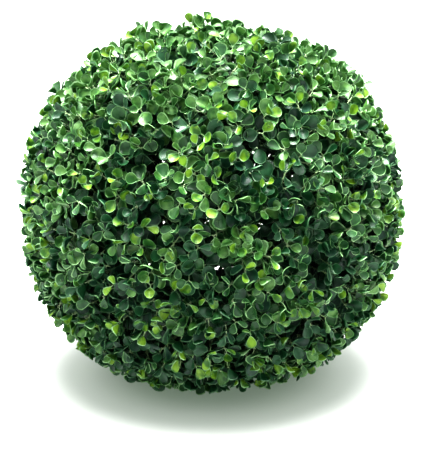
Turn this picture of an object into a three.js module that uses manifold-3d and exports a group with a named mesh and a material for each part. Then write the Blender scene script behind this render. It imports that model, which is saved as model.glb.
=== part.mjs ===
// An artificial boxwood topiary ball, 350 mm across its leaves and 326 mm high.
//
// Two half shells of open plastic lattice meet at the equator. Each holds sprigs of round leaves on
// its rings: a sprig has one stem, a dense inner pad, and twigs that end in three leaves each. The
// ball stands on the leaves that its weight presses flat underneath. Millimetres, +Z up, and the
// origin is on the surface that the ball stands on, below its centre.

import * as THREE from 'three';
import { ConvexGeometry } from 'three/addons/geometries/ConvexGeometry.js';
import { mergeVertices } from 'three/addons/utils/BufferGeometryUtils.js';
import Module from 'manifold-3d';

const wasm = await Module();
wasm.setup();

// Outer form, through the furthest leaf tips
const BALL_HALF_WIDTH = 175;
const BALL_HALF_HEIGHT = 170;
const BALL_FULLNESS = 2.2; // 2 is an ellipse, and more fills its shoulders out
const CENTRE_HEIGHT = 157; // less than the half height, so the lowest leaves are pressed flat

// Lattice frame: elevations in degrees above the equator, widths along the sphere
const FRAME_RADIUS = 128;
const FRAME_THICKNESS = 2.8;
const RING_WIDTH = 7;
const RIB_WIDTH = 4.5;
const HUB_ELEVATION = 83;
const RIBS_PER_HALF = 8;
const LINES_BETWEEN_RIBS = 2; // extra corners that round the rings off
const GAP = 0.3; // between pieces that touch

// Sprigs stand on the frame's rings
const SPRIG_RINGS = [
  { elevation: 14.5, count: 12 },
  { elevation: 41.8, count: 8 },
  { elevation: 66.4, count: 4 },
];
const RING_TURNS = [0, 0, 45]; // azimuth of each ring's first sprig, degrees
const LOWER_TURN = 15; // azimuth by which the whole lower half is turned
const SPACE_MARGIN = 0.2; // from a sprig's leaves to the plane halfway to its neighbour

const STEM_RADIUS_FOOT = 3;
const STEM_RADIUS_FORK = 2;
const STEM_SIDES = 3;
const FORK_RADIUS = 148; // from the ball's centre

const PAD_INNER_RADIUS = 142;
const PAD_OUTER_RADIUS = 154;
const PAD_CROWN_RADIUS = 156.5;
const PAD_SHARE = 0.93; // of the way to the edge of the sprig's space
const PAD_CORNERS = 7;

// The twigs of a sprig, long ones first: their turns round the stem in degrees, the degrees that
// their leaves stand above the ball's surface, and how far leaf tips stay below the outer form
const TWIG_LEVELS = [
  { turns: [0, 120, 240], lift: [18, 34], drop: [0, 2] },
  { turns: [60, 180], lift: [0, 8], drop: [8, 11] },
];
const TWIG_SHARE = 0.54; // of the way to the edge of the space, where a twig's tip is
const TWIG_START = 0.55; // share of the way out from the stem's fork at which a twig's foot is
const TWIG_FOOT_RADIUS = 149; // from the ball's centre, inside the pad
const TWIG_RADIUS_FOOT = 1.8;
const TWIG_RADIUS_TIP = 1.3;
const TWIG_SIDES = 3;
const TWIG_TRIES = 80;
const TRY_SHRINK = 0.28; // share of its size that a leaf loses by the last try
const TRY_SHIFT = 0.15; // shares of the way to the edge that a try moves a twig's tip either way
const TRY_TURN = 25; // degrees round the sprig's stem that a try moves a twig's tip either way

const LEAF_LENGTH = 27;
const LEAF_HALF_WIDTH = 13;
const LEAF_THICKNESS = 1.4;
const LEAF_CUP = 2.2;
const LEAF_SIZES = [0.85, 1.05];
const LEAF_ROLL = 22; // degrees either way about its own length
// Half outline as shares of the length and the half width, from the root to the blunt tip
const LEAF_OUTLINE = [
  [0.5, 1],
  [1, 0.5],
];

const FOLIAGE_SEED = 4127;
const SEED_STEP = 7919;

const DARK_GREEN = new THREE.MeshStandardMaterial({
  name: 'foliage_dark',
  color: 0x2f5d2c,
  roughness: 0.45,
  metalness: 0,
});
const MID_GREEN = new THREE.MeshStandardMaterial({
  name: 'foliage_mid',
  color: 0x477a38,
  roughness: 0.45,
  metalness: 0,
});
const LIGHT_GREEN = new THREE.MeshStandardMaterial({
  name: 'foliage_light',
  color: 0x6b9c42,
  roughness: 0.45,
  metalness: 0,
});
const FRAME_GREEN = new THREE.MeshStandardMaterial({
  name: 'frame_green',
  color: 0x16301c,
  roughness: 0.6,
  metalness: 0,
});
const FOLIAGE_COLOURS = [DARK_GREEN, MID_GREEN, LIGHT_GREEN];

const radians = THREE.MathUtils.degToRad;
const between = ([low, high], share) => low + (high - low) * share;
const eitherWay = (size, share) => size * (2 * share - 1);

/** A seeded multiplying generator: the same draws, from 0 to 1, for the same seed. */
function seededDraws(seed) {
  let state = seed;
  const draw = () => {
    state = (state * 48271) % 2147483647;
    return state / 2147483647;
  };
  for (let i = 0; i < 4; i++) draw();
  return draw;
}

/** Unit vector at an azimuth and an elevation in degrees. */
function direction(azimuth, elevation) {
  const level = Math.cos(radians(elevation));
  return new THREE.Vector3(
    level * Math.cos(radians(azimuth)),
    level * Math.sin(radians(azimuth)),
    Math.sin(radians(elevation)),
  );
}

/** The unit vector reached from another by going an angle over the sphere on a heading. */
function goFrom(unit, heading, angle) {
  const helper = Math.abs(unit.z) < 0.9 ? new THREE.Vector3(0, 0, 1) : new THREE.Vector3(1, 0, 0);
  const east = new THREE.Vector3().crossVectors(helper, unit).normalize();
  const north = new THREE.Vector3().crossVectors(unit, east);
  return unit
    .clone()
    .multiplyScalar(Math.cos(angle))
    .addScaledVector(east, Math.sin(angle) * Math.cos(heading))
    .addScaledVector(north, Math.sin(angle) * Math.sin(heading));
}

/** Distance from the ball's centre to its outer form along a unit vector. */
function outerRadius(unit) {
  const level = Math.hypot(unit.x, unit.y) / BALL_HALF_WIDTH;
  const upright = Math.abs(unit.z) / BALL_HALF_HEIGHT;
  return (level ** BALL_FULLNESS + upright ** BALL_FULLNESS) ** (-1 / BALL_FULLNESS);
}

/** A closed three.js geometry as a solid. */
function solidOf(geometry) {
  const bare = new THREE.BufferGeometry();
  bare.setAttribute('position', geometry.getAttribute('position'));
  bare.setIndex(geometry.getIndex());
  const merged = mergeVertices(bare, 1e-4);
  return new wasm.Manifold(
    new wasm.Mesh({
      numProp: 3,
      vertProperties: new Float32Array(merged.getAttribute('position').array),
      triVerts: new Uint32Array(merged.getIndex().array),
    }),
  );
}

/** The solid with the given corners and triangles. */
function solidFrom(points, triangles) {
  const geometry = new THREE.BufferGeometry().setFromPoints(points);
  geometry.setIndex(triangles.flat());
  return solidOf(geometry);
}

/** Solids joined into one, without any scrap that ends up loose. */
function joined(solids) {
  const whole = solids.reduce((sum, solid) => sum.add(solid));
  return whole.decompose().reduce((most, piece) => (piece.volume() > most.volume() ? piece : most));
}

/** A solid as a flat-shaded three.js geometry. */
function geometryOf(solid) {
  const { numProp, vertProperties, triVerts } = solid.getMesh();
  const positions = new Float32Array(triVerts.length * 3);
  triVerts.forEach((vertex, i) => {
    const at = vertex * numProp;
    positions.set(vertProperties.subarray(at, at + 3), i * 3);
  });
  const geometry = new THREE.BufferGeometry();
  geometry.setAttribute('position', new THREE.BufferAttribute(positions, 3));
  geometry.computeVertexNormals();
  return geometry;
}

/** Where every sprig points, with the half of the ball that holds it. */
function sprigDirections() {
  const sprigs = [];
  for (const half of ['lower', 'upper']) {
    const side = half === 'lower' ? -1 : 1;
    const start = half === 'lower' ? LOWER_TURN : 0;
    let number = 0;
    SPRIG_RINGS.forEach(({ elevation, count }, ring) => {
      for (let i = 0; i < count; i++) {
        number += 1;
        const azimuth = start + RING_TURNS[ring] + (360 * i) / count;
        sprigs.push({ half, number, unit: direction(azimuth, side * elevation) });
      }
    });
  }
  return sprigs;
}

/** Normals of the planes halfway to a sprig's neighbours, facing the sprig's own side. */
function spaceOf(sprig, sprigs) {
  return sprigs
    .filter((other) => other !== sprig)
    .map((other) => new THREE.Vector3().subVectors(sprig.unit, other.unit).normalize());
}

const isInside = (point, space) => space.every((normal) => point.dot(normal) >= SPACE_MARGIN);

/** The angle from a sprig's middle to the edge of its space on a heading. */
function angleToEdge(unit, heading, space) {
  let low = 0;
  let high = radians(45);
  for (let halving = 0; halving < 20; halving++) {
    const middle = (low + high) / 2;
    const point = goFrom(unit, heading, middle).multiplyScalar(FRAME_RADIUS);
    if (isInside(point, space)) low = middle;
    else high = middle;
  }
  return low;
}

/** The stem of a sprig: a tapering bar from the ring that it stands on to its fork. */
function stemSolid(unit) {
  const foot = FRAME_RADIUS + GAP;
  const length = FORK_RADIUS - foot;
  const stem = new THREE.CylinderGeometry(STEM_RADIUS_FORK, STEM_RADIUS_FOOT, length, STEM_SIDES);
  stem.translate(0, foot + length / 2, 0);
  const turn = new THREE.Quaternion().setFromUnitVectors(new THREE.Vector3(0, 1, 0), unit);
  stem.applyQuaternion(turn);
  return solidOf(stem);
}

/** The dense inner foliage of a sprig: a low dome over its share of the ball. */
function padSolid(unit, space) {
  const points = [unit.clone().multiplyScalar(PAD_CROWN_RADIUS)];
  for (let corner = 0; corner < PAD_CORNERS; corner++) {
    const heading = (2 * Math.PI * corner) / PAD_CORNERS;
    const angle = PAD_SHARE * angleToEdge(unit, heading, space);
    const side = goFrom(unit, heading, angle);
    points.push(side.clone().multiplyScalar(PAD_INNER_RADIUS));
    points.push(side.clone().multiplyScalar(PAD_OUTER_RADIUS));
  }
  return solidOf(new ConvexGeometry(points));
}

/** Corners of a leaf: right side, tip and left side as one line, then its face and back middles. */
function leafPoints(root, along, normal, size) {
  const across = new THREE.Vector3().crossVectors(normal, along);
  const length = LEAF_LENGTH * size;
  const place = (forward, sideways, height) =>
    root
      .clone()
      .addScaledVector(along, forward * length)
      .addScaledVector(across, sideways * LEAF_HALF_WIDTH * size)
      .addScaledVector(normal, height);
  const right = LEAF_OUTLINE.map(([forward, sideways]) => place(forward, -sideways, 0));
  const left = LEAF_OUTLINE.map(([forward, sideways]) => place(forward, sideways, 0)).reverse();
  const cup = LEAF_CUP * size;
  return {
    rim: [...right, ...left],
    face: place(0.5, 0, LEAF_THICKNESS / 2 - cup),
    back: place(0.5, 0, -LEAF_THICKNESS / 2 - cup),
  };
}

/** A three-sided twig whose leaves grow out of its sides at its tip; null leaves a side bare. */
function twigSolid(foot, tip, corners, leaves) {
  const outward = tip.clone().normalize();
  const half = LEAF_THICKNESS / 2;
  const points = [];
  for (const corner of corners) {
    points.push(foot.clone().addScaledVector(corner, TWIG_RADIUS_FOOT));
    const side = tip.clone().addScaledVector(corner, TWIG_RADIUS_TIP);
    points.push(side.clone().addScaledVector(outward, -half));
    points.push(side.clone().addScaledVector(outward, half));
  }
  const footAt = (k) => 3 * k;
  const lowAt = (k) => 3 * k + 1;
  const highAt = (k) => 3 * k + 2;
  const triangles = [
    [footAt(0), footAt(2), footAt(1)],
    [highAt(0), highAt(1), highAt(2)],
  ];
  leaves.forEach((leaf, left) => {
    const right = (left + TWIG_SIDES - 1) % TWIG_SIDES;
    triangles.push([footAt(right), footAt(left), lowAt(left)]);
    triangles.push([footAt(right), lowAt(left), lowAt(right)]);
    if (leaf === null) {
      triangles.push([lowAt(right), lowAt(left), highAt(left)]);
      triangles.push([lowAt(right), highAt(left), highAt(right)]);
      return;
    }
    const rim = leaf.rim.map((point) => points.push(point) - 1);
    const face = points.push(leaf.face) - 1;
    const back = points.push(leaf.back) - 1;
    const above = [highAt(right), ...rim, highAt(left)];
    const below = [lowAt(right), ...rim, lowAt(left)];
    for (let i = 0; i < above.length; i++) {
      const next = (i + 1) % above.length;
      triangles.push([face, above[i], above[next]]);
      triangles.push([back, below[next], below[i]]);
    }
    triangles.push([lowAt(right), rim.at(0), highAt(right)]);
    triangles.push([highAt(left), rim.at(-1), lowAt(left)]);
  });
  return solidFrom(points, triangles);
}

/** One try at a twig: how many of its leaves keep to the sprig's space, and its solid. */
function twigAttempt(fork, towards, level, shrink, space, draw) {
  const lift = radians(between(level.lift, draw()));
  const size = shrink * between(LEAF_SIZES, draw());
  const rise = LEAF_LENGTH * size * Math.sin(lift) + between(level.drop, draw());
  const tip = towards.clone().multiplyScalar(outerRadius(towards) - rise);
  const firstHeading = 2 * Math.PI * draw();
  const corners = [];
  const leaves = [];
  for (let side = 0; side < TWIG_SIDES; side++) {
    const heading = firstHeading + (2 * Math.PI * side) / TWIG_SIDES;
    corners.push(goFrom(towards, heading + Math.PI / TWIG_SIDES, Math.PI / 2));
    const outward = goFrom(towards, heading, Math.PI / 2);
    const along = outward.clone().multiplyScalar(Math.cos(lift));
    along.addScaledVector(towards, Math.sin(lift));
    const normal = towards.clone().multiplyScalar(Math.cos(lift));
    normal.addScaledVector(outward, -Math.sin(lift));
    normal.applyAxisAngle(along, radians(eitherWay(LEAF_ROLL, draw())));
    const leaf = leafPoints(tip, along, normal, size);
    const fits = leaf.rim.every((point) => {
      const withinForm = point.length() <= outerRadius(point.clone().normalize());
      return withinForm && isInside(point, space);
    });
    leaves.push(fits ? leaf : null);
  }
  const foot = fork.clone().lerp(tip, TWIG_START).setLength(TWIG_FOOT_RADIUS);
  return {
    count: leaves.filter((leaf) => leaf !== null).length,
    solid: twigSolid(foot, tip, corners, leaves),
  };
}

/** The leafy twigs of a sprig, none of which crosses another. */
function twigSolids(unit, fork, space, draw) {
  const twigs = [];
  const start = 360 * draw();
  const places = TWIG_LEVELS.flatMap((level) => level.turns.map((turn) => ({ level, turn })));
  for (const { level, turn } of places) {
    let best = { count: 0 };
    for (let n = 0; n < TWIG_TRIES && best.count < TWIG_SIDES; n++) {
      const heading = radians(start + turn + eitherWay(TRY_TURN, draw()));
      const share = TWIG_SHARE + eitherWay(TRY_SHIFT, draw());
      const towards = goFrom(unit, heading, share * angleToEdge(unit, heading, space));
      const shrink = 1 - (TRY_SHRINK * n) / TWIG_TRIES;
      const attempt = twigAttempt(fork, towards, level, shrink, space, draw);
      const isBetter = attempt.count > best.count;
      if (isBetter && twigs.every((twig) => twig.intersect(attempt.solid).isEmpty())) best = attempt;
    }
    if (best.count > 0) twigs.push(best.solid);
  }
  return twigs;
}

/** One mass of foliage: stem, inner pad, twigs and leaves fused. */
function sprigSolid(sprig, index, sprigs) {
  const draw = seededDraws(FOLIAGE_SEED + SEED_STEP * (index + 1));
  const space = spaceOf(sprig, sprigs);
  const fork = sprig.unit.clone().multiplyScalar(FORK_RADIUS);
  return joined([
    padSolid(sprig.unit, space),
    stemSolid(sprig.unit),
    ...twigSolids(sprig.unit, fork, space, draw),
  ]);
}

/** Bounds of the frame's rows from the equator up, ring and opening in turn, with the hub last. */
function frameRowBounds() {
  const halfWidth = THREE.MathUtils.radToDeg(RING_WIDTH / 2 / FRAME_RADIUS);
  const start = THREE.MathUtils.radToDeg(GAP / 2 / FRAME_RADIUS);
  const bounds = [start, start + halfWidth];
  for (const { elevation } of SPRIG_RINGS) {
    bounds.push(elevation - halfWidth, elevation + halfWidth);
  }
  return [...bounds, HUB_ELEVATION];
}

/** Azimuths of the frame's columns at an elevation: a rib, then the opening beside it, in turn. */
function frameColumnBounds(elevation) {
  const ringRadius = FRAME_RADIUS * Math.cos(radians(elevation));
  const halfRib = THREE.MathUtils.radToDeg(RIB_WIDTH / 2 / ringRadius);
  const spacing = 360 / RIBS_PER_HALF;
  const bounds = [];
  for (let rib = 0; rib < RIBS_PER_HALF; rib++) {
    bounds.push(rib * spacing - halfRib, rib * spacing + halfRib);
    for (let line = 1; line <= LINES_BETWEEN_RIBS; line++) {
      bounds.push((rib + line / (LINES_BETWEEN_RIBS + 1)) * spacing);
    }
  }
  return bounds;
}

/** The upper half of the lattice sphere: rings joined by ribs, with a hub at the pole. */
function latticeSolid() {
  const rows = frameRowBounds();
  const columns = RIBS_PER_HALF * (LINES_BETWEEN_RIBS + 2);
  const points = [];
  for (const elevation of rows) {
    for (const azimuth of frameColumnBounds(elevation)) {
      const unit = direction(azimuth, elevation);
      points.push(unit.clone().multiplyScalar(FRAME_RADIUS));
      points.push(unit.clone().multiplyScalar(FRAME_RADIUS - FRAME_THICKNESS));
    }
  }
  const poleOuter = points.push(new THREE.Vector3(0, 0, FRAME_RADIUS)) - 1;
  const poleInner = points.push(new THREE.Vector3(0, 0, FRAME_RADIUS - FRAME_THICKNESS)) - 1;
  const outerAt = (row, column) => 2 * (row * columns + (column % columns));
  const innerAt = (row, column) => outerAt(row, column) + 1;
  const isRing = (row) => row % 2 === 0;
  const isRib = (column) => column % (LINES_BETWEEN_RIBS + 2) === 0;
  const isSolid = (row, column) => row >= 0 && (isRing(row) || isRib(column % columns));
  const triangles = [];
  const quad = (a, b, c, d) => triangles.push([a, b, c], [a, c, d]);
  const last = rows.length - 1;
  for (let column = 0; column < columns; column++) {
    const next = column + 1;
    for (let row = 0; row < last; row++) {
      if (!isSolid(row, column)) continue;
      const above = row + 1;
      quad(outerAt(row, column), outerAt(row, next), outerAt(above, next), outerAt(above, column));
      quad(innerAt(row, column), innerAt(above, column), innerAt(above, next), innerAt(row, next));
      if (!isSolid(row - 1, column)) {
        quad(outerAt(row, column), innerAt(row, column), innerAt(row, next), outerAt(row, next));
      }
      if (above < last && !isSolid(above, column)) {
        quad(outerAt(above, column), outerAt(above, next), innerAt(above, next), innerAt(above, column));
      }
      if (!isSolid(row, column + columns - 1)) {
        quad(outerAt(row, column), outerAt(above, column), innerAt(above, column), innerAt(row, column));
      }
      if (!isSolid(row, next)) {
        quad(outerAt(row, next), innerAt(row, next), innerAt(above, next), outerAt(above, next));
      }
    }
    triangles.push([outerAt(last, column), outerAt(last, next), poleOuter]);
    triangles.push([innerAt(last, next), innerAt(last, column), poleInner]);
    if (!isSolid(last - 1, column)) {
      quad(outerAt(last, column), innerAt(last, column), innerAt(last, next), outerAt(last, next));
    }
  }
  return solidFrom(points, triangles);
}

/** One half of the frame: the lower one is the upper one turned over, then round by its own turn. */
function frameMesh(half) {
  const mesh = namedMesh(`frame_${half}`, latticeSolid(), FRAME_GREEN);
  if (half === 'lower') mesh.rotation.set(Math.PI, 0, radians(LOWER_TURN), 'ZYX');
  return mesh;
}

/** All space above the surface that the ball stands on, seen from the ball's centre. */
function aboveSurface() {
  const side = 3 * BALL_HALF_WIDTH;
  const block = new THREE.BoxGeometry(side, side, side);
  block.translate(0, 0, side / 2 - CENTRE_HEIGHT);
  return solidOf(block);
}

function namedMesh(name, solid, material) {
  const mesh = new THREE.Mesh(geometryOf(solid), material);
  mesh.name = name;
  return mesh;
}

function topiaryBall() {
  const ball = new THREE.Group();
  ball.name = 'artificial_boxwood_ball';
  ball.position.z = CENTRE_HEIGHT;
  for (const half of ['lower', 'upper']) {
    ball.add(frameMesh(half));
  }
  const open = aboveSurface();
  const sprigs = sprigDirections();
  sprigs.forEach((sprig, index) => {
    const solid = joined([sprigSolid(sprig, index, sprigs).intersect(open)]);
    const name = `foliage_${sprig.half}_${String(sprig.number).padStart(2, '0')}`;
    ball.add(namedMesh(name, solid, FOLIAGE_COLOURS[index % FOLIAGE_COLOURS.length]));
  });
  return ball;
}

export default topiaryBall();
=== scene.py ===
# An artificial boxwood topiary ball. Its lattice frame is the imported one. Every sprig of foliage grows
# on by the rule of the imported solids: the same directions, spaces, outer form and seeds, carried from
# one stem to boughs, twigs and opposite pairs of leaves at their real size. Metres, +Z up.

import math

import bpy
import numpy as np
from mathutils import Matrix, Vector


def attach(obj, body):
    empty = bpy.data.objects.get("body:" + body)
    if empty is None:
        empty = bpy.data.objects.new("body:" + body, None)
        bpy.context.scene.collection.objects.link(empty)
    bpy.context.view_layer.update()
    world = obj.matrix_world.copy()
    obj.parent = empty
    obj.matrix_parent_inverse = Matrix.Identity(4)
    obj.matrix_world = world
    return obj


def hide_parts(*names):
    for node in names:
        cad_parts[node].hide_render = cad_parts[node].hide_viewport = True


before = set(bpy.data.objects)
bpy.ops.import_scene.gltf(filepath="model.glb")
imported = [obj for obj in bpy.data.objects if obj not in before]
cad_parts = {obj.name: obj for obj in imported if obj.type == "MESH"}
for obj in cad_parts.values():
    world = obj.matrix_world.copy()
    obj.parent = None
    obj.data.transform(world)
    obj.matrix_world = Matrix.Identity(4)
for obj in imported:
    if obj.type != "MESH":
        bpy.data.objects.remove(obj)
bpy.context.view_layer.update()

# Outer form, sprigs and seeds, as in the solids. Angles are in degrees
BALL_HALF_WIDTH = 0.175
BALL_HALF_HEIGHT = 0.170
BALL_FULLNESS = 2.2
CENTRE_HEIGHT = 0.157
FLOOR_ROUNDING = 16
FRAME_RADIUS = 0.128
STEM_RADII = (0.003, 0.002)
SPRIG_RINGS = (
    {"elevation": 14.5, "count": 12, "turn": 0},
    {"elevation": 41.8, "count": 8, "turn": 0},
    {"elevation": 66.4, "count": 4, "turn": 45},
)
LOWER_TURN = 15
FOLIAGE_SEED = 4127
SEED_STEP = 7919
DRAW_FACTOR = 48271
DRAW_MODULUS = 2147483647
FIRST_DRAWS_DROPPED = 4

# Growth from a sprig's stem: boughs run out under the foliage to bunches of twigs, one over the stem
# and a ring round it. Shares are of the way to the edge of the sprig's space
FORK_RADIUS = 0.136
RING_BUNCHES = 6
RING_SHARE = 0.72
RING_SHARE_JITTER = 0.09
RING_TURN_JITTER = 13
BUNCH_FOOT_DEPTH = 0.035
BUNCH_DEPTH = (-0.001, 0.008)
BOUGH_RADII = (0.0012, 0.0009)
BOUGH_STEPS = 4
BOUGH_SAG = 0.25

# Thin shoots spread sideways from a bunch's foot, and some end in old leaves deep in the shade
SHOOTS = 9
SHOOT_PAIR = {"size": 0.95, "spread": 76, "share": 0.27}
SHOOT_TILT = (50, 100)
SHOOT_LENGTH = (0.016, 0.032)
SHOOT_SAG = 0.0015
SHOOT_RADII = (0.0007, 0.0004)

# The twigs of a bunch fan out over a small dome: its half angle, seen from the ball's centre, and how
# much lower its edge is than its middle
BUNCH_TWIGS = 5
BUNCH_SPREAD = 6.6
BUNCH_DOMING = 0.005
GOLDEN_TURN = math.pi * (3 - math.sqrt(5))
# How far a tip stays below its place on the dome, and the shares of its whole depth that apply at the
# ball's bottom and top
TIP_DEPTH = (-0.0022, 0.0034)
DEPTH_SHARES = (-0.2, 1.3)
TWIG_LEAN = (0, 18)
TWIG_RADII = (0.0009, 0.0006)
LEAFY_LENGTH = 0.0225
PETIOLE_RADII = (0.0006, 0.0005)
PETIOLE_LENGTH = 0.0020
TUBE_SIDES = 3
# Beyond this share of upright, a direction's sideways axis is taken from X in place of Z
NEARLY_UPRIGHT = 0.9

# Opposite pairs of leaves down a twig, from its tip: the distance to the tip, the leaves' size, the
# angle that they spread from the twig, and the share of the leaves that are there
PAIRS = (
    {"below_tip": 0.0, "size": 0.74, "spread": 42, "share": 1.0},
    {"below_tip": 0.0045, "size": 0.96, "spread": 66, "share": 1.0},
    {"below_tip": 0.0120, "size": 1.0, "spread": 76, "share": 0.95},
    {"below_tip": 0.0205, "size": 1.0, "spread": 82, "share": 0.5},
)
PAIR_TURN = 90
PAIR_TURN_JITTER = 22
SPREAD_JITTER = 24
ROLL_JITTER = 38
LEAF_SIZES = (0.84, 1.2)

LEAF_LENGTH = 0.0134
LEAF_HALF_WIDTH = 0.0056
LEAF_CUP = (0.0010, 0.0040)
LEAF_BEND = (-0.0036, 0.0024)
LEAF_LIP = 0.0006
# Half outline from the root to the tip: shares of the length and of the half width
LEAF_OUTLINE = (
    (0.0, 0.12),
    (0.15, 0.4),
    (0.36, 0.78),
    (0.6, 1.0),
    (0.82, 0.88),
    (0.96, 0.48),
    (1.0, 0.0),
)
LEAF_MIDDLE = 0.55
RIM_SHARE = 0.88
INNER_SHARE = 0.5

# Leaves lower than this are pressed flat against the floor
FLOOR_PRESS = 0.003

# Tints, from old leaves to the newest: two linear colours that shade into each other over a leaf, the
# record's slot, and the share of twigs that bear it. Only the tips of fresh twigs bear the last
TINTS = {
    "deep": {
        "colours": ((0.003, 0.031, 0.015), (0.010, 0.056, 0.028)),
        "slot": "foliage_dark",
        "share": 0.22,
    },
    "dark": {
        "colours": ((0.003, 0.040, 0.012), (0.016, 0.080, 0.030)),
        "slot": "foliage_dark",
        "share": 0.34,
    },
    "mid": {
        "colours": ((0.009, 0.056, 0.014), (0.036, 0.114, 0.036)),
        "slot": "foliage_mid",
        "share": 0.25,
    },
    "light": {
        "colours": ((0.022, 0.095, 0.018), (0.105, 0.229, 0.060)),
        "slot": "foliage_light",
        "share": 0.19,
    },
    "fresh": {
        "colours": ((0.040, 0.130, 0.020), (0.205, 0.360, 0.036)),
        "slot": "foliage_light",
        "share": 0.0,
    },
}
TINT_ORDER = tuple(TINTS)
# A draw is raised to a power between these, at the ball's bottom and top, so its top is lighter: painted
# light from above, with painted shade towards the bottom
PAINTED_TOP_LIGHT_POWERS = (2.6, 0.29)
# Share of twigs with their bunch's tint, the least and greatest share of fresh twigs in a bunch, and
# the share of twigs whose second pair is a tint lighter
SAME_TINT = 0.5
FRESH_TWIGS = (0.05, 0.8)
LIGHTER_TIPS = 0.5
SHOOT_TINT = "dark"
# Pale rims round the leaves: partly the paler moulded edge, partly painted highlight where the edges
# catch the light
RIMS = {
    "rims_dark": {
        "tints": ("deep", "dark"),
        "colours": ((0.031, 0.097, 0.043), (0.115, 0.234, 0.122)),
        "slot": "foliage_mid",
    },
    "rims_light": {
        "tints": ("mid", "light", "fresh"),
        "colours": ((0.093, 0.230, 0.076), (0.281, 0.460, 0.230)),
        "slot": "foliage_light",
    },
}

# Finishes of the moulded plastic: the scale of its shading, its roughness and its relief
LEAF_FINISH = {"shade_scale": 120, "roughness": 0.40, "relief": 0.25}
FRAME_COLOURS = ((0.010, 0.034, 0.018), (0.022, 0.064, 0.036))
FRAME_FINISH = {"shade_scale": 40, "roughness": 0.5, "relief": 0.4}
WOOD_COLOURS = ((0.050, 0.120, 0.050), (0.100, 0.190, 0.090))
WOOD_FINISH = {"shade_scale": 80, "roughness": 0.45, "relief": 0.3}
# Pale twigs and petioles: partly their own pale plastic, partly painted highlight along the thin stems
TWIG_AND_HIGHLIGHT_COLOURS = ((0.260, 0.380, 0.180), (0.420, 0.540, 0.320))
TWIG_FINISH = {"shade_scale": 80, "roughness": 0.36, "relief": 0.2}
SHADE_EDGES = (0.4, 0.6)
GLOSS_SPREAD = 0.07
GLOSS_FINER = 3
RELIEF_FINER = 12
RELIEF_HEIGHT = 0.0003

# The photograph: its frame, and the ball's middle and width in it
PHOTO_WIDTH = 436
PHOTO_HEIGHT = 450
BALL_MIDDLE_PX = (212, 203)
BALL_WIDTH_PX = 384
CAMERA_ELEVATION = 13
LENS_MM = 85
SENSOR_MM = 36

# The studio is a white tent, brightest high at the back, with a softbox above. Each glow is worked out
# from how far a direction lies along that of its brightest part
TENT_BRIGHTEST = (90, 60)
TENT_GLOW = (0.15, 2.6)
TENT_SPAN = (-0.4, 0.9)
SOFTBOX_PLACE = (90, 86)
SOFTBOX_GLOW = 35.0
SOFTBOX_SPAN = (0.92, 0.98)
HORIZON_GLOW = 2.0
HORIZON_SPAN = (0.04, 0.10)
# The floor is of pale acrylic that glows faintly, as if lit from below: painted light that keeps the
# ball's shadow soft and tints it green, as light through the leaves would
FLOOR_SIDE = 40.0
FLOOR_ROUGHNESS = 0.8
FLOOR_WHITE = 0.34
FLOOR_GLOW = (0.135, 0.170, 0.135)
PICTURE_LOOK = "High Contrast"


def seeded_draws(seed):
    """A seeded multiplying generator: the same draws, from 0 to 1, for the same seed."""
    state = seed

    def draw():
        nonlocal state
        state = state * DRAW_FACTOR % DRAW_MODULUS
        return state / DRAW_MODULUS

    for _ in range(FIRST_DRAWS_DROPPED):
        draw()
    return draw


def between(limits, share):
    return limits[0] + (limits[1] - limits[0]) * share


def either_way(size, share):
    return size * (2 * share - 1)


def direction(azimuth, elevation):
    """Unit vector at an azimuth and an elevation in degrees."""
    azimuth, elevation = math.radians(azimuth), math.radians(elevation)
    level = math.cos(elevation)
    return np.array([level * math.cos(azimuth), level * math.sin(azimuth), math.sin(elevation)])


def normalised(vector):
    return vector / np.linalg.norm(vector)


def go_from(unit, heading, angle):
    """The unit vector reached from another by going an angle over the sphere on a heading."""
    helper = np.array([0.0, 0.0, 1.0]) if abs(unit[2]) < NEARLY_UPRIGHT else np.array([1.0, 0.0, 0.0])
    east = normalised(np.cross(helper, unit))
    north = np.cross(unit, east)
    sideways = east * math.cos(heading) + north * math.sin(heading)
    return unit * math.cos(angle) + sideways * math.sin(angle)


def reach(unit):
    """Distance from the ball's centre to its outer form, rounded off where it meets the floor."""
    level = math.hypot(unit[0], unit[1]) / BALL_HALF_WIDTH
    upright = abs(unit[2]) / BALL_HALF_HEIGHT
    radius = (level**BALL_FULLNESS + upright**BALL_FULLNESS) ** (-1 / BALL_FULLNESS)
    if unit[2] < 0:
        to_floor = CENTRE_HEIGHT / -unit[2]
        radius = (radius**-FLOOR_ROUNDING + to_floor**-FLOOR_ROUNDING) ** (-1 / FLOOR_ROUNDING)
    return radius


def sprig_directions():
    """Where every sprig points from the ball's centre, the lower half's first."""
    units = []
    for side, start in ((-1, LOWER_TURN), (1, 0)):
        for ring in SPRIG_RINGS:
            for i in range(ring["count"]):
                azimuth = start + ring["turn"] + 360 * i / ring["count"]
                units.append(direction(azimuth, side * ring["elevation"]))
    return units


def space_of(index, units):
    """Normals of the planes halfway to a sprig's neighbours, facing the sprig's own side."""
    return np.array([normalised(units[index] - other) for i, other in enumerate(units) if i != index])


def angle_to_edge(unit, heading, space):
    """The angle from a sprig's middle to the edge of its space on a heading."""
    nearing = space @ go_from(unit, heading, math.pi / 2)
    ahead = nearing < 0
    return np.arctan2(space[ahead] @ unit, -nearing[ahead]).min()


def farthest_corner(unit, space):
    """The heading, in whole degrees, on which the edge of a sprig's space is farthest away."""
    return max(range(360), key=lambda turn: angle_to_edge(unit, math.radians(turn), space))


def bunch_places(unit, space, draw):
    """Where a sprig's bunches point: one over its stem, and a ring inside the edge of its space that
    starts towards the farthest corner."""
    start = farthest_corner(unit, space)
    places = [unit]
    for k in range(RING_BUNCHES):
        turn = start + 360 * k / RING_BUNCHES + either_way(RING_TURN_JITTER, draw())
        heading = math.radians(turn)
        share = RING_SHARE + either_way(RING_SHARE_JITTER, draw())
        places.append(go_from(unit, heading, share * angle_to_edge(unit, heading, space)))
    return places


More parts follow.
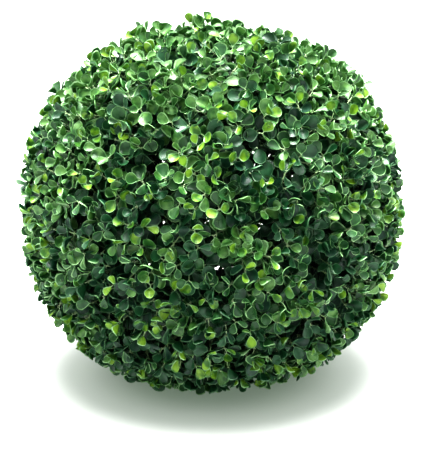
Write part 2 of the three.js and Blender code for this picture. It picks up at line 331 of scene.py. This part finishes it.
def base_tint(height, draw):
    """A twig's tint, dealt out by the tints' shares, painted lighter the higher it is: height is 0 to 1.
    """
    left = draw() ** between(PAINTED_TOP_LIGHT_POWERS, height)
    for name, tint in TINTS.items():
        left -= tint["share"]
        if left <= 0:
            return name
    return "mid"


def lighter(tint):
    return TINT_ORDER[min(TINT_ORDER.index(tint) + 1, TINT_ORDER.index("light"))]


def grow_bunch(towards, fork, draw, growth):
    """One bough, the twigs that fan out from its end, and the shoots round their foot."""
    depth = between(BUNCH_DEPTH, draw())
    foot = towards * (reach(towards) - depth - BUNCH_FOOT_DEPTH)
    middle = (fork + foot) / 2 * (1 + BOUGH_SAG * np.linalg.norm(foot - fork))
    steps = np.linspace(0, 1, BOUGH_STEPS)[:, None]
    bough = fork * (1 - steps) ** 2 + 2 * middle * steps * (1 - steps) + foot * steps**2
    growth["boughs"].append(bough)
    height = (1 + towards[2]) / 2
    # Painted light from above: the higher the bunch, the lighter the tints it is dealt
    tint = base_tint(height, draw)
    fresh_share = between(FRESH_TWIGS, draw() ** 2)
    start = 2 * math.pi * draw()
    for k in range(BUNCH_TWIGS):
        share = math.sqrt((k + 0.5) / BUNCH_TWIGS)
        place = go_from(towards, start + GOLDEN_TURN * k, math.radians(BUNCH_SPREAD * share))
        twig_tint = tint if draw() < SAME_TINT else base_tint(height, draw)
        is_fresh = draw() < fresh_share
        grow_twig(place, foot, depth + BUNCH_DOMING * share**2, twig_tint, is_fresh, draw, growth)
    for k in range(SHOOTS):
        tilt = math.radians(between(SHOOT_TILT, draw()))
        axis = go_from(towards, start + 2 * math.pi * (k + draw()) / SHOOTS, tilt)
        end = foot + axis * between(SHOOT_LENGTH, draw())
        growth["shoots"].append(np.array([foot, (foot + end) / 2 + towards * SHOOT_SAG, end]))
        turn = 2 * math.pi * draw()
        for side in (0, math.pi):
            if draw() < SHOOT_PAIR["share"]:
                grow_leaf(end, towards, turn + side, SHOOT_PAIR, SHOOT_TINT, draw, growth)


def grow_twig(towards, foot, depth, tint, is_fresh, draw, growth):
    """One twig from its bunch's foot, with its pairs of leaves."""
    has_lighter_tip = draw() < LIGHTER_TIPS
    rise = LEAF_LENGTH * PAIRS[0]["size"] * math.cos(math.radians(PAIRS[0]["spread"]))
    depth = (depth + between(TIP_DEPTH, draw())) * between(DEPTH_SHARES, (1 + towards[2]) / 2)
    tip = towards * (reach(towards) - rise - depth)
    lean = math.radians(between(TWIG_LEAN, draw()))
    axis = go_from(normalised(tip - foot), 2 * math.pi * draw(), lean)
    growth["twigs"].append(np.array([foot, tip - axis * LEAFY_LENGTH, tip]))
    first_turn = 2 * math.pi * draw()
    for number, pair in enumerate(PAIRS):
        turn = first_turn + math.radians(PAIR_TURN * number + either_way(PAIR_TURN_JITTER, draw()))
        node = tip - axis * pair["below_tip"]
        pair_tint = tint
        if number == 0:
            pair_tint = "fresh" if is_fresh else lighter(tint)
        elif number == 1 and has_lighter_tip:
            pair_tint = lighter(tint)
        for side in (0, math.pi):
            if draw() < pair["share"]:
                grow_leaf(node, axis, turn + side, pair, pair_tint, draw, growth)


def grow_leaf(node, axis, turn, pair, tint, draw, growth):
    """One leaf on its petiole: its root, its three axes, its size and how it curves."""
    spread = math.radians(pair["spread"] + either_way(SPREAD_JITTER, draw()))
    outward = go_from(axis, turn, math.pi / 2)
    along = axis * math.cos(spread) + outward * math.sin(spread)
    normal = axis * math.sin(spread) - outward * math.cos(spread)
    across = np.cross(normal, along)
    roll = math.radians(either_way(ROLL_JITTER, draw()))
    across, normal = (
        across * math.cos(roll) + normal * math.sin(roll),
        normal * math.cos(roll) - across * math.sin(roll),
    )
    root = node + along * PETIOLE_LENGTH
    growth["petioles"].append(np.array([node, root]))
    growth["leaves"].append(
        {
            "root": root,
            "along": along,
            "across": across,
            "normal": normal,
            "size": pair["size"] * between(LEAF_SIZES, draw()),
            "cup": between(LEAF_CUP, draw()),
            "bend": between(LEAF_BEND, draw()),
            "tint": tint,
        }
    )


def grow_ball():
    """All the growth on the frame, about the ball's centre."""
    growth = {"stems": [], "boughs": [], "shoots": [], "twigs": [], "petioles": [], "leaves": []}
    units = sprig_directions()
    for index, unit in enumerate(units):
        draw = seeded_draws(FOLIAGE_SEED + SEED_STEP * (index + 1))
        space = space_of(index, units)
        fork = unit * FORK_RADIUS
        growth["stems"].append(np.array([unit * FRAME_RADIUS, fork]))
        for towards in bunch_places(unit, space, draw):
            grow_bunch(towards, fork, draw, growth)
    return growth


def settled(points):
    """Points moved from the ball's centre to their place, and pressed flat where they meet the floor."""
    placed = points + np.array([0.0, 0.0, CENTRE_HEIGHT])
    height = placed[..., 2]
    pressed = FLOOR_PRESS * np.exp((height - FLOOR_PRESS) / FLOOR_PRESS)
    placed[..., 2] = np.where(height < FLOOR_PRESS, pressed, height)
    return placed


def leaf_rings():
    """The leaf's outline, its rim's inner edge and an inner ring, as shares of length and half width."""
    right = np.array(LEAF_OUTLINE)
    left = right[-2:0:-1] * (1, -1)
    outline = np.concatenate([right[1:], left, [(right[0, 0], 0.0)]])
    middle = np.array([LEAF_MIDDLE, 0.0])
    return [outline, middle + (outline - middle) * RIM_SHARE, middle + (outline - middle) * INNER_SHARE]


def leaf_points(leaves, flat, lip_points=0):
    """Every leaf's points for the given flat ones, cupped across and bent along its length. The first
    lip_points of them stand up as a lip."""
    def values(key):
        return np.array([leaf[key] for leaf in leaves])[:, None]

    size, cup, bend = values("size"), values("cup"), values("bend")
    forward, sideways = flat[:, 0], flat[:, 1]
    lip = np.where(np.arange(len(flat)) < lip_points, LEAF_LIP, 0)
    height = cup * sideways**2 + bend * forward**2 + lip
    return (
        values("root")
        + values("along") * (size * forward * LEAF_LENGTH)[..., None]
        + values("across") * (size * sideways * LEAF_HALF_WIDTH)[..., None]
        + values("normal") * (size * height)[..., None]
    )


def repeated(triangles, count, points_each):
    """The triangles of one copy, as those of all the copies in one mesh."""
    starts = points_each * np.arange(count)
    return (np.array(triangles)[None] + starts[:, None, None]).reshape(-1, 3)


def ring_triangles(outer, inner, count):
    """Triangles of the band between two closed rings of points."""
    triangles = []
    for i in range(count):
        j = (i + 1) % count
        triangles += [(outer + i, outer + j, inner + j), (outer + i, inner + j, inner + i)]
    return triangles


def joined_piece(name, points, triangles, material):
    """One piece from arrays of points and triangles, with its finish, on the ball's one body."""
    mesh = bpy.data.meshes.new(name)
    mesh.from_pydata(settled(points).reshape(-1, 3).tolist(), [], triangles.tolist())
    mesh.shade_smooth()
    mesh.materials.append(material)
    piece = bpy.data.objects.new(name, mesh)
    bpy.context.scene.collection.objects.link(piece)
    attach(piece, "root")
    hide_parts(*(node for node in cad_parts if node.startswith("foliage_")))
    return piece


def blade_piece(tint, leaves, rings):
    """The blades of all leaves of one tint, inside their rims."""
    rim, inner = rings[1], rings[2]
    flat = np.concatenate([rim, inner, [(LEAF_MIDDLE, 0.0)]])
    count = len(rim)
    centre = 2 * count
    triangles = ring_triangles(0, count, count)
    triangles += [(count + i, count + (i + 1) % count, centre) for i in range(count)]
    points = leaf_points(leaves, flat)
    finish = plastic(f"leaf_{tint}", TINTS[tint]["colours"], **LEAF_FINISH)
    triangles = repeated(triangles, len(leaves), len(flat))
    joined_piece(f"leaves_{tint}", points, triangles, finish)


def rim_piece(name, leaves, rings):
    """The pale rims of the leaves of some tints: partly the moulding's paler edge, partly a painted
    highlight.
    """
    flat = np.concatenate(rings[:2])
    count = len(rings[0])
    points = leaf_points(leaves, flat, lip_points=count)
    triangles = repeated(ring_triangles(0, count, count), len(leaves), len(flat))
    finish = plastic(name, RIMS[name]["colours"], **LEAF_FINISH)
    joined_piece(name, points, triangles, finish)


def tube_piece(name, lines, radii, material):
    """Tapering tubes along lines that all have the same number of points, closed at both ends."""
    lines = np.array(lines)
    count, steps = lines.shape[:2]
    ahead = lines[:, -1] - lines[:, 0]
    ahead /= np.linalg.norm(ahead, axis=1)[:, None]
    helper = np.where(np.abs(ahead[:, 2:]) < NEARLY_UPRIGHT, (0.0, 0.0, 1.0), (1.0, 0.0, 0.0))
    east = np.cross(helper, ahead)
    east /= np.linalg.norm(east, axis=1)[:, None]
    north = np.cross(ahead, east)
    turns = 2 * math.pi * np.arange(TUBE_SIDES) / TUBE_SIDES
    ring = east[:, None] * np.cos(turns)[:, None] + north[:, None] * np.sin(turns)[:, None]
    radius = np.linspace(radii[0], radii[1], steps)
    points = lines[:, :, None] + ring[:, None] * radius[:, None, None]
    triangles = []
    for step in range(steps - 1):
        low, high = step * TUBE_SIDES, (step + 1) * TUBE_SIDES
        triangles += ring_triangles(low, high, TUBE_SIDES)
    last = (steps - 1) * TUBE_SIDES
    triangles += [(0, 2, 1), (last, last + 1, last + 2)]
    triangles = repeated(triangles, count, steps * TUBE_SIDES)
    joined_piece(name, points.reshape(count, -1, 3), triangles, material)


def plastic(name, colours, shade_scale, roughness, relief):
    """Moulded plastic: two colours that shade into each other, uneven gloss and a slightly rough skin."""
    material = bpy.data.materials.new(name)
    material.use_nodes = True
    nodes, links = material.node_tree.nodes, material.node_tree.links
    shader = nodes["Principled BSDF"]
    place = nodes.new("ShaderNodeTexCoord")

    def noise(scale, detail):
        texture = nodes.new("ShaderNodeTexNoise")
        texture.inputs["Scale"].default_value = scale
        texture.inputs["Detail"].default_value = detail
        links.new(place.outputs["Object"], texture.inputs["Vector"])
        return texture.outputs["Fac"]

    ramp = nodes.new("ShaderNodeValToRGB")
    for element, edge, colour in zip(ramp.color_ramp.elements, SHADE_EDGES, colours):
        element.position = edge
        element.color = (*colour, 1)
    links.new(noise(shade_scale, 2), ramp.inputs["Fac"])
    links.new(ramp.outputs["Color"], shader.inputs["Base Color"])

    gloss = nodes.new("ShaderNodeMapRange")
    set_range(gloss, (0, 1), (roughness - GLOSS_SPREAD, roughness + GLOSS_SPREAD))
    links.new(noise(shade_scale * GLOSS_FINER, 1), gloss.inputs["Value"])
    links.new(gloss.outputs["Result"], shader.inputs["Roughness"])

    bump = nodes.new("ShaderNodeBump")
    bump.inputs["Strength"].default_value = relief
    bump.inputs["Distance"].default_value = RELIEF_HEIGHT
    links.new(noise(shade_scale * RELIEF_FINER, 2), bump.inputs["Height"])
    links.new(bump.outputs["Normal"], shader.inputs["Normal"])
    return material


def set_range(node, span, result):
    """Sets what a Map Range node reads and gives back."""
    node.inputs["From Min"].default_value, node.inputs["From Max"].default_value = span
    node.inputs["To Min"].default_value, node.inputs["To Max"].default_value = result


def dress_frame():
    """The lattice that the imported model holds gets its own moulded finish."""
    finish = plastic("frame_moulding", FRAME_COLOURS, **FRAME_FINISH)
    for name in ("frame_lower", "frame_upper"):
        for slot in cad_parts[name].material_slots:
            slot.material = finish


def dress_foliage():
    """The foliage's solids give way to leaves, rims and wood, each kind apart."""
    growth = grow_ball()
    rings = leaf_rings()
    for tint in TINTS:
        blade_piece(tint, [leaf for leaf in growth["leaves"] if leaf["tint"] == tint], rings)
    for name, rim in RIMS.items():
        rim_piece(name, [leaf for leaf in growth["leaves"] if leaf["tint"] in rim["tints"]], rings)
    wood = plastic("stem_moulding", WOOD_COLOURS, **WOOD_FINISH)
    # The twigs' and petioles' pale finish carries a painted highlight along them
    twig_and_highlight = plastic("twig_moulding_and_highlight", TWIG_AND_HIGHLIGHT_COLOURS, **TWIG_FINISH)
    tube_piece("stems", growth["stems"], STEM_RADII, wood)
    tube_piece("boughs", growth["boughs"], BOUGH_RADII, wood)
    tube_piece("shoots", growth["shoots"], SHOOT_RADII, wood)
    tube_piece("twigs", growth["twigs"], TWIG_RADII, twig_and_highlight)
    tube_piece("petioles", growth["petioles"], PETIOLE_RADII, twig_and_highlight)


def lay_floor():
    """A plain pale floor that reaches past the view, of acrylic whose faint green glow is painted light.
    """
    mesh = bpy.data.meshes.new("floor")
    half = FLOOR_SIDE / 2
    corners = [(-half, -half, 0), (half, -half, 0), (half, half, 0), (-half, half, 0)]
    mesh.from_pydata(corners, [], [(0, 1, 2, 3)])
    finish = bpy.data.materials.new("floor_white")
    finish.use_nodes = True
    shader = finish.node_tree.nodes["Principled BSDF"]
    shader.inputs["Base Color"].default_value = (FLOOR_WHITE, FLOOR_WHITE, FLOOR_WHITE, 1)
    shader.inputs["Roughness"].default_value = FLOOR_ROUGHNESS
    # The floor's own glow: painted light that lifts the ball's shadow and tints it green
    shader.inputs["Emission Color"].default_value = (*FLOOR_GLOW, 1)
    shader.inputs["Emission Strength"].default_value = 1
    mesh.materials.append(finish)
    floor = bpy.data.objects.new("floor", mesh)
    bpy.context.scene.collection.objects.link(floor)


def light_studio():
    """A white tent of soft light, with a white horizon behind the floor's far edge."""
    scene = bpy.context.scene
    world = bpy.data.worlds.new("white_tent")
    world.use_nodes = True
    nodes, links = world.node_tree.nodes, world.node_tree.links
    place = nodes.new("ShaderNodeTexCoord")

    def glow(centre, span, result):
        along = nodes.new("ShaderNodeVectorMath")
        along.operation = "DOT_PRODUCT"
        along.inputs[1].default_value = centre
        links.new(place.outputs["Generated"], along.inputs[0])
        fade = nodes.new("ShaderNodeMapRange")
        fade.interpolation_type = "SMOOTHSTEP"
        set_range(fade, span, result)
        links.new(along.outputs["Value"], fade.inputs["Value"])
        return fade.outputs["Result"]

    def combined(operation, first, second):
        node = nodes.new("ShaderNodeMath")
        node.operation = operation
        links.new(first, node.inputs[0])
        links.new(second, node.inputs[1])
        return node.outputs["Value"]

    tent = glow(direction(*TENT_BRIGHTEST), TENT_SPAN, TENT_GLOW)
    softbox = glow(direction(*SOFTBOX_PLACE), SOFTBOX_SPAN, (0, SOFTBOX_GLOW))
    horizon = glow((0, 0, 1), HORIZON_SPAN, (HORIZON_GLOW, 0))
    light = combined("MAXIMUM", combined("ADD", tent, softbox), horizon)
    links.new(light, nodes["Background"].inputs["Strength"])
    nodes["Background"].inputs["Color"].default_value = (1, 1, 1, 1)
    scene.world = world
    scene.view_settings.view_transform = "Standard"
    scene.view_settings.look = PICTURE_LOOK


def place_camera():
    """A camera at the photograph's viewing angle that shows the ball at its place in the frame."""
    data = bpy.data.cameras.new("camera")
    data.lens = LENS_MM
    data.sensor_width = SENSOR_MM
    focal_px = PHOTO_HEIGHT * LENS_MM / SENSOR_MM
    half_angle = math.atan(BALL_WIDTH_PX / 2 / focal_px)
    distance = BALL_HALF_WIDTH / math.sin(half_angle)
    centre = Vector((0, 0, CENTRE_HEIGHT))
    back = Vector(direction(-90, CAMERA_ELEVATION))
    right = Vector((1, 0, 0))
    up = back.cross(right)
    camera = bpy.data.objects.new("camera", data)
    location = centre + back * distance
    aside = (PHOTO_WIDTH / 2 - BALL_MIDDLE_PX[0]) / focal_px * distance
    below = (PHOTO_HEIGHT / 2 - BALL_MIDDLE_PX[1]) / focal_px * distance
    aim = centre + right * aside - up * below
    turn = (location - aim).to_track_quat("Z", "Y")
    camera.matrix_world = Matrix.LocRotScale(location, turn, None)
    bpy.context.scene.collection.objects.link(camera)
    bpy.context.scene.camera = camera


place_camera()
light_studio()
lay_floor()
dress_frame()
dress_foliage()
